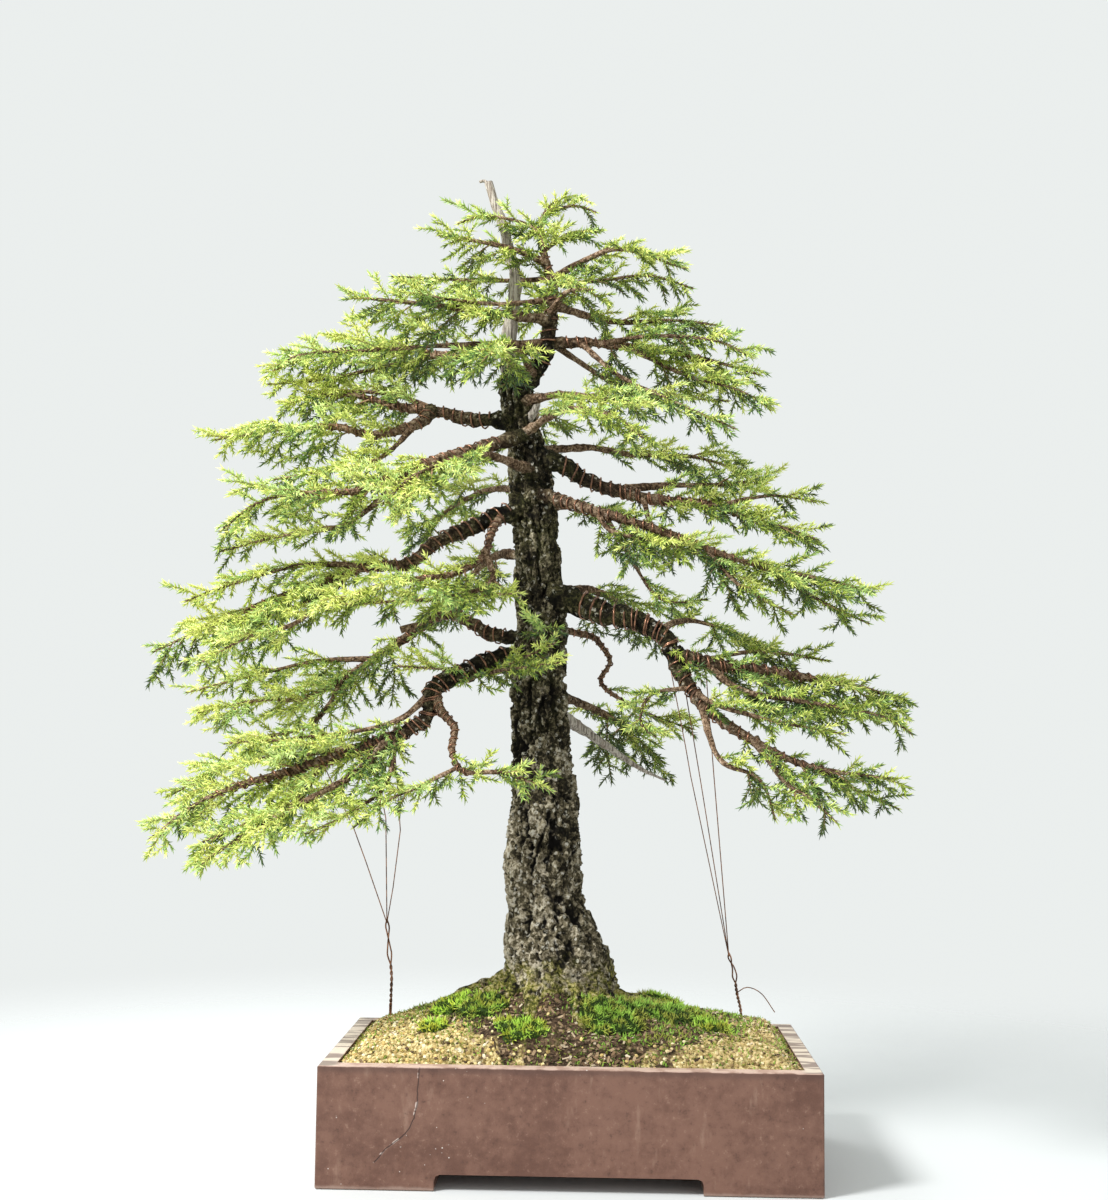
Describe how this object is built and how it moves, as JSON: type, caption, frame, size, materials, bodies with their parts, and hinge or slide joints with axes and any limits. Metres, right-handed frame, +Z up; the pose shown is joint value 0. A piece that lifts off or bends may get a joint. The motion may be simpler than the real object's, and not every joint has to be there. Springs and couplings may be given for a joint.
{
  "type": "norway spruce bonsai",
  "caption": "Wired spruce bonsai with layered needle sprays, a bare dead top and moss on gravel soil, standing in a rectangular stoneware tray with shallow feet.",
  "frame": {"origin": "bottom centre of the whole object's box, on the plane that the tray's feet stand on", "axes": "+Z up along the trunk, the front of the tray faces -Y, +X to the right seen from the front"},
  "size_m": [0.8488, 0.5664, 1.0751],
  "materials": {
    "stoneware": "unglazed red-brown stoneware, matte, with a worn pale rim",
    "soil": "buff gravel grains and dark humus, dry and matte",
    "bark": "rough plated dark bark, bare grey wood on the dead leader",
    "needles": "fresh yellow-green to mid-green needles on pale brown shoots",
    "moss": "soft green moss, matte",
    "copper": "annealed copper wire, reddish brown"
  },
  "bodies": {
    "root": {"coil_lower_left": "copper", "coil_lower_right": "copper", "guy_wire_left": "copper", "guy_wire_right": "copper", "moss_front": "moss", "moss_front_left": "moss", "moss_front_right": "moss", "pot": "stoneware", "soil": "soil", "spray_back_high": "needles", "spray_back_left": "needles", "spray_back_low": "needles", "spray_back_mid_left": "needles", "spray_back_mid_right": "needles", "spray_back_right": "needles", "spray_back_top": "needles", "spray_fifth_left": "needles", "spray_fifth_right": "needles", "spray_fourth_left": "needles", "spray_fourth_left_low": "needles", "spray_fourth_right": "needles", "spray_front_high": "needles", "spray_front_left": "needles", "spray_front_right": "needles", "spray_front_small": "needles", "spray_front_top": "needles", "spray_leader": "needles", "spray_lower_left": "needles", "spray_lower_left_1": "needles", "spray_lower_left_drop": "needles", "spray_lower_left_low": "needles", "spray_lower_right": "needles", "spray_lower_right_back": "needles", "spray_lower_right_drop": "needles", "spray_lower_right_low": "needles", "spray_lower_right_mid": "needles", "spray_middle_right": "needles", "spray_second_left": "needles", "spray_second_left_1": "needles", "spray_seventh_left": "needles", "spray_seventh_right": "needles", "spray_sixth_left": "needles", "spray_sixth_right": "needles", "spray_thin_right": "needles", "spray_third_left": "needles", "spray_third_left_1": "needles", "spray_third_left_front": "needles", "spray_third_right": "needles", "spray_third_right_back": "needles", "spray_third_right_high": "needles", "spray_top_left": "needles", "spray_top_right": "needles", "tree_wood": "bark"}
  },
  "joints": []
}
